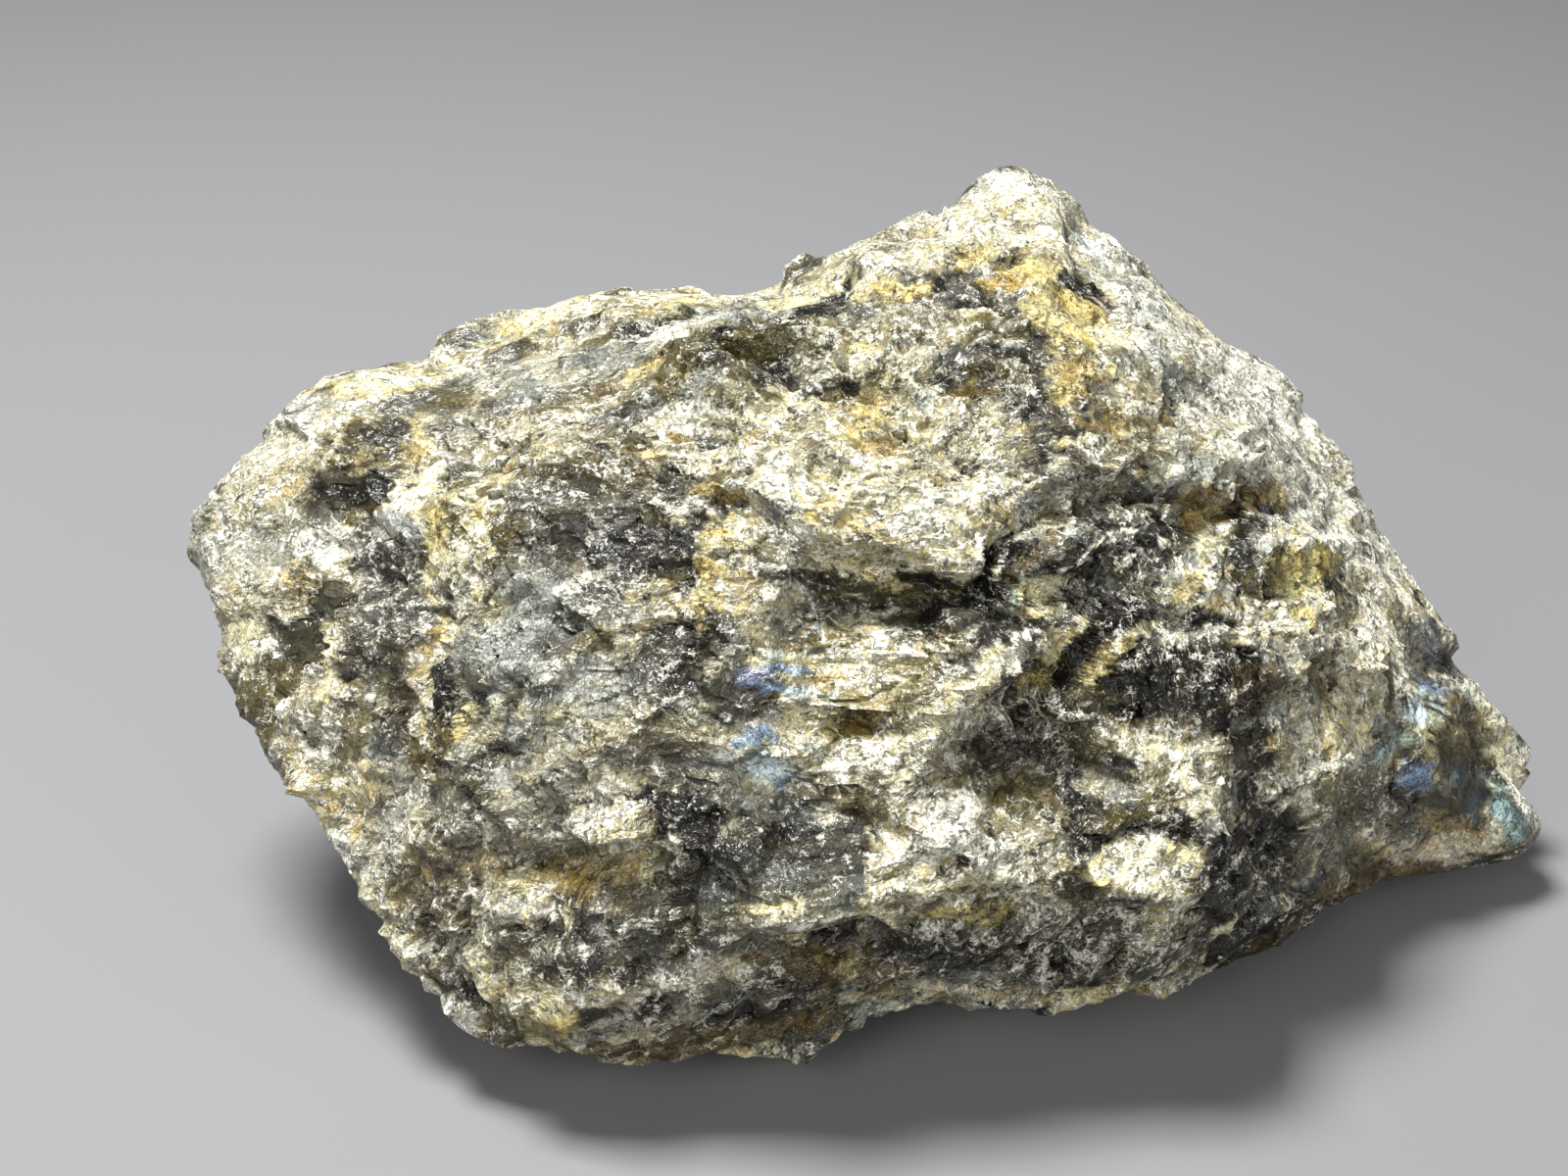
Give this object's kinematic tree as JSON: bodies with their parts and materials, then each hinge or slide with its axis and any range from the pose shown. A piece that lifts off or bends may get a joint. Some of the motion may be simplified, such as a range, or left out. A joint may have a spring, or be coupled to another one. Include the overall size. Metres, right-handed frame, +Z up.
{
  "type": "labradorite freeform",
  "caption": "Rough broken lump of dark labradorite with a leaning broad face, a blunt peak and a narrow nose, resting on a flat foot",
  "frame": {"origin": "on the resting plane, under the middle of the stone's bounding box", "axes": "+Z up from the resting plane, +X along the stone's length towards its narrow nose, -Y the side that the broad leaning face looks towards"},
  "size_m": [0.1068, 0.0679, 0.0518],
  "materials": {
    "labradorite": "rough broken feldspar, glassy on cleavage faces and crushed white on edges"
  },
  "bodies": {
    "root": {"labradorite": "labradorite"}
  },
  "joints": []
}
